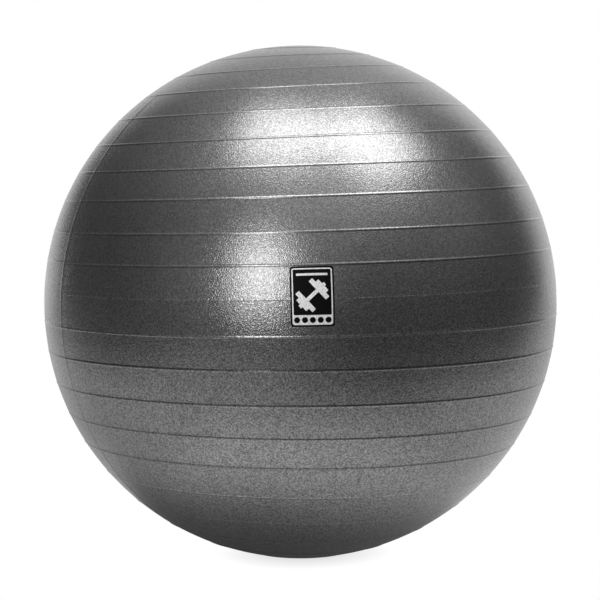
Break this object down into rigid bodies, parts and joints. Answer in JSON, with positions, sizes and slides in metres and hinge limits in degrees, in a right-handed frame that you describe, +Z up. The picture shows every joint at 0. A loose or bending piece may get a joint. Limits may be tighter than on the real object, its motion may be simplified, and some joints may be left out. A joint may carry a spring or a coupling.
{
  "type": "exercise ball",
  "caption": "Air-filled PVC exercise ball with low horizontal ribs, a printed mark on its front and a push-in air plug in a recessed valve seat at the top.",
  "frame": {"origin": "centre of the flat contact patch under the ball, on the floor", "axes": "+Z up along the axis of the ribs and the valve; the printed mark faces -Y; +X is to the right of someone who faces the mark"},
  "size_m": [0.5502, 0.5513, 0.548],
  "materials": {
    "ball_pvc": "satin pearl silver-grey PVC with a fine pebbled grain",
    "valve_pvc": "soft matt grey PVC",
    "plug_plastic": "natural white polythene, lightly satin",
    "black_ink": "black printing ink, satin",
    "silver_ink": "silver printing ink, satin"
  },
  "bodies": {
    "ball": {"ball_skin": "ball_pvc", "valve_seat": "valve_pvc", "label_ground": "black_ink", "label_frame": "silver_ink", "label_emblem": "silver_ink", "label_bar": "silver_ink"},
    "plug": {"air_plug": "plug_plastic"}
  },
  "joints": [
    {"name": "plug_pull", "type": "slide", "parent": "ball", "child": "plug", "axis": [0, 0, 1], "range_m": [0, 0.025]}
  ]
}
